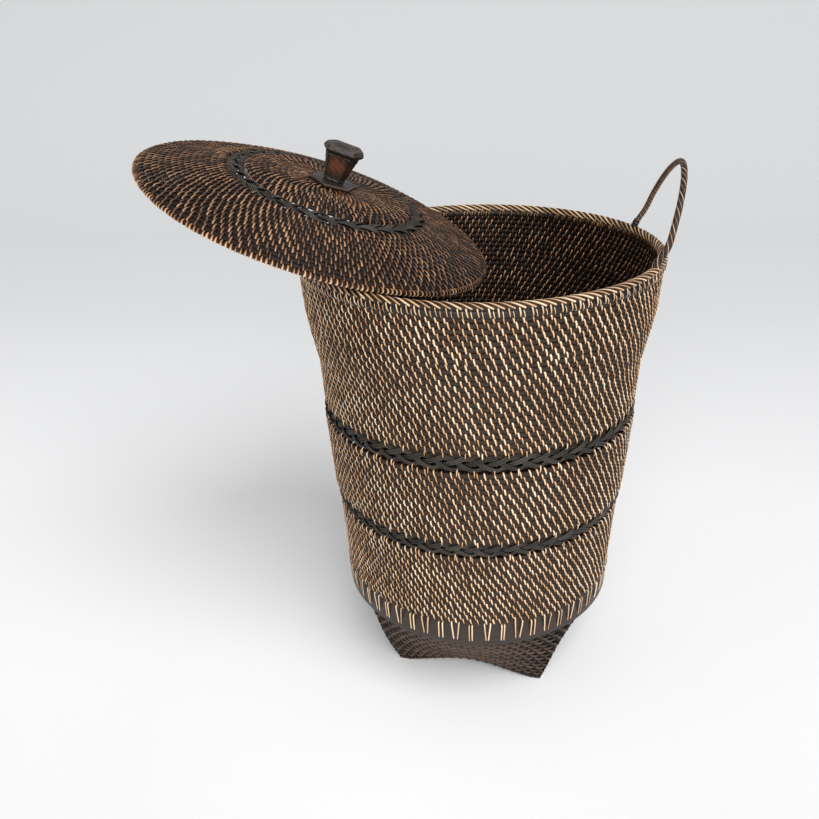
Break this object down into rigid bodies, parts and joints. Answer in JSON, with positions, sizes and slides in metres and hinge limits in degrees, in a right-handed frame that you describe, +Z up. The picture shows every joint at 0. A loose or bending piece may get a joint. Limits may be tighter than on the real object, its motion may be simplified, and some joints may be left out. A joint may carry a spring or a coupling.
{
  "type": "lidded basket",
  "caption": "Tall round coiled cane basket on a square plaited foot, with loop handles and a knobbed lid propped open.",
  "frame": {"origin": "on the floor, under the middle of the whole object's bounding box; the basket's own axis is at x = 0.0798", "axes": "+Z up; +X towards the clear handle, -X towards the handle under the lid; -Y is the front"},
  "size_m": [0.5973, 0.4207, 0.6659],
  "materials": {
    "coil_cane": "coiled rods wrapped with cane, satin",
    "stitch_cane": "split cane, satin",
    "dark_braid": "dyed plaited cane, satin",
    "plait": "dyed split cane plaited in twill, matt",
    "dark_strip": "dyed flat strip, semi-gloss",
    "carved_wood": "carved hardwood, satin"
  },
  "bodies": {
    "basket": {"plaited_foot": "plait", "bottom_panel": "plait", "foot_hoop": "dark_strip", "hoop_lacing": "stitch_cane", "wall_lower": "coil_cane", "wall_middle": "coil_cane", "wall_upper": "coil_cane", "braid_lower": "dark_braid", "braid_upper": "dark_braid", "rim_hoop_outer": "stitch_cane", "rim_hoop_inner": "stitch_cane", "rim_binding": "coil_cane", "handle_right_stake": "coil_cane", "handle_right_wrap": "coil_cane", "handle_right_lashing_back": "stitch_cane", "handle_right_lashing_front": "stitch_cane", "handle_left_stake": "coil_cane", "handle_left_wrap": "coil_cane", "handle_left_lashing_back": "stitch_cane", "handle_left_lashing_front": "stitch_cane"},
    "lid": {"lid_inner_coils": "coil_cane", "lid_braid": "dark_braid", "lid_outer_coils": "coil_cane", "lid_edge_hoop": "stitch_cane", "lid_locating_hoop": "dark_strip", "knob_flange": "carved_wood", "knob": "carved_wood", "knob_washer": "carved_wood", "knob_peg": "carved_wood", "knob_pin": "stitch_cane"}
  },
  "joints": [
    {"name": "lid_lift", "type": "slide", "parent": "basket", "child": "lid", "axis": [0, 0, 1], "range_m": [0, 0.2]}
  ]
}
